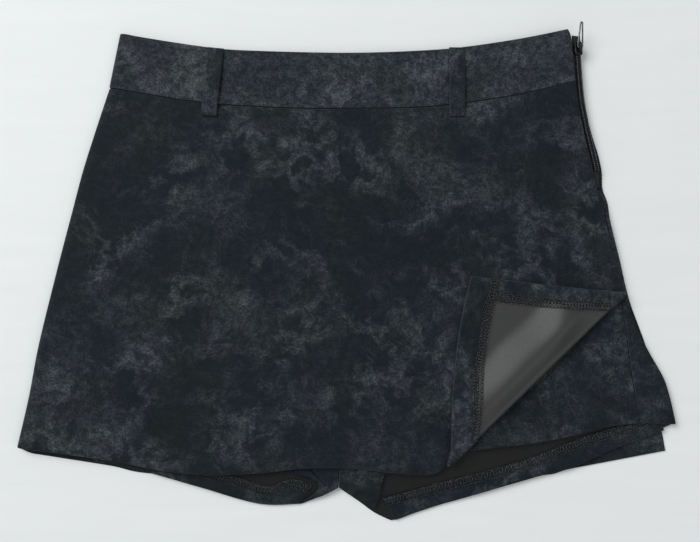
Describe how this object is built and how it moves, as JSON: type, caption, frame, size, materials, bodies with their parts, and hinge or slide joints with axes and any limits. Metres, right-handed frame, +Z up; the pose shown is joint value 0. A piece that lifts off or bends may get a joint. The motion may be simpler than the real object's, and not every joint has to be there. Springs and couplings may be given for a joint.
{
  "type": "black faux leather mini skort, laid flat",
  "caption": "A mini skort laid flat: a brushed black skirt front and back over built-in shorts, with a waistband, belt loops and a side zip.",
  "frame": {"origin": "on the table under the middle of the laid garment", "axes": "+X across the garment towards its zip, +Y up the garment towards its waist, +Z up from the table"},
  "size_m": [0.511, 0.3906, 0.0147],
  "materials": {
    "outer_cloth": "brushed faux leather, near black with a blue cast, with a matt nap mottled by paler smudges",
    "reverse_cloth": "the cloth's own reverse, a smooth dark grey satin weave",
    "thread": "black polyester sewing thread with a slight sheen",
    "zip_tape": "black woven polyester tape",
    "zip_coil": "black nylon coil",
    "zip_metal": "gunmetal enamel, worn bright along its edges"
  },
  "bodies": {
    "garment": {"skirt_front": "outer_cloth", "skirt_back": "outer_cloth", "skirt_hem_turnup": "outer_cloth", "skirt_side_turnup": "outer_cloth", "waistband_front": "outer_cloth", "waistband_back": "outer_cloth", "belt_loop_left": "outer_cloth", "belt_loop_right": "outer_cloth", "shorts_front_left": "outer_cloth", "shorts_front_right": "outer_cloth", "shorts_back_left": "outer_cloth", "shorts_back_right": "outer_cloth", "leg_hem_left": "outer_cloth", "leg_hem_right": "outer_cloth", "zip_tape": "zip_tape", "zip_chain": "zip_coil", "zip_slider": "zip_metal"},
    "pull": {"zip_pull": "zip_metal"}
  },
  "joints": [
    {"name": "pull_swing", "type": "hinge", "parent": "garment", "child": "pull", "pos_m": [0.18514, 0.17542, 0.0097], "axis": [0.9654, 0.031, -0.2588], "range_deg": [-9, 156]}
  ]
}
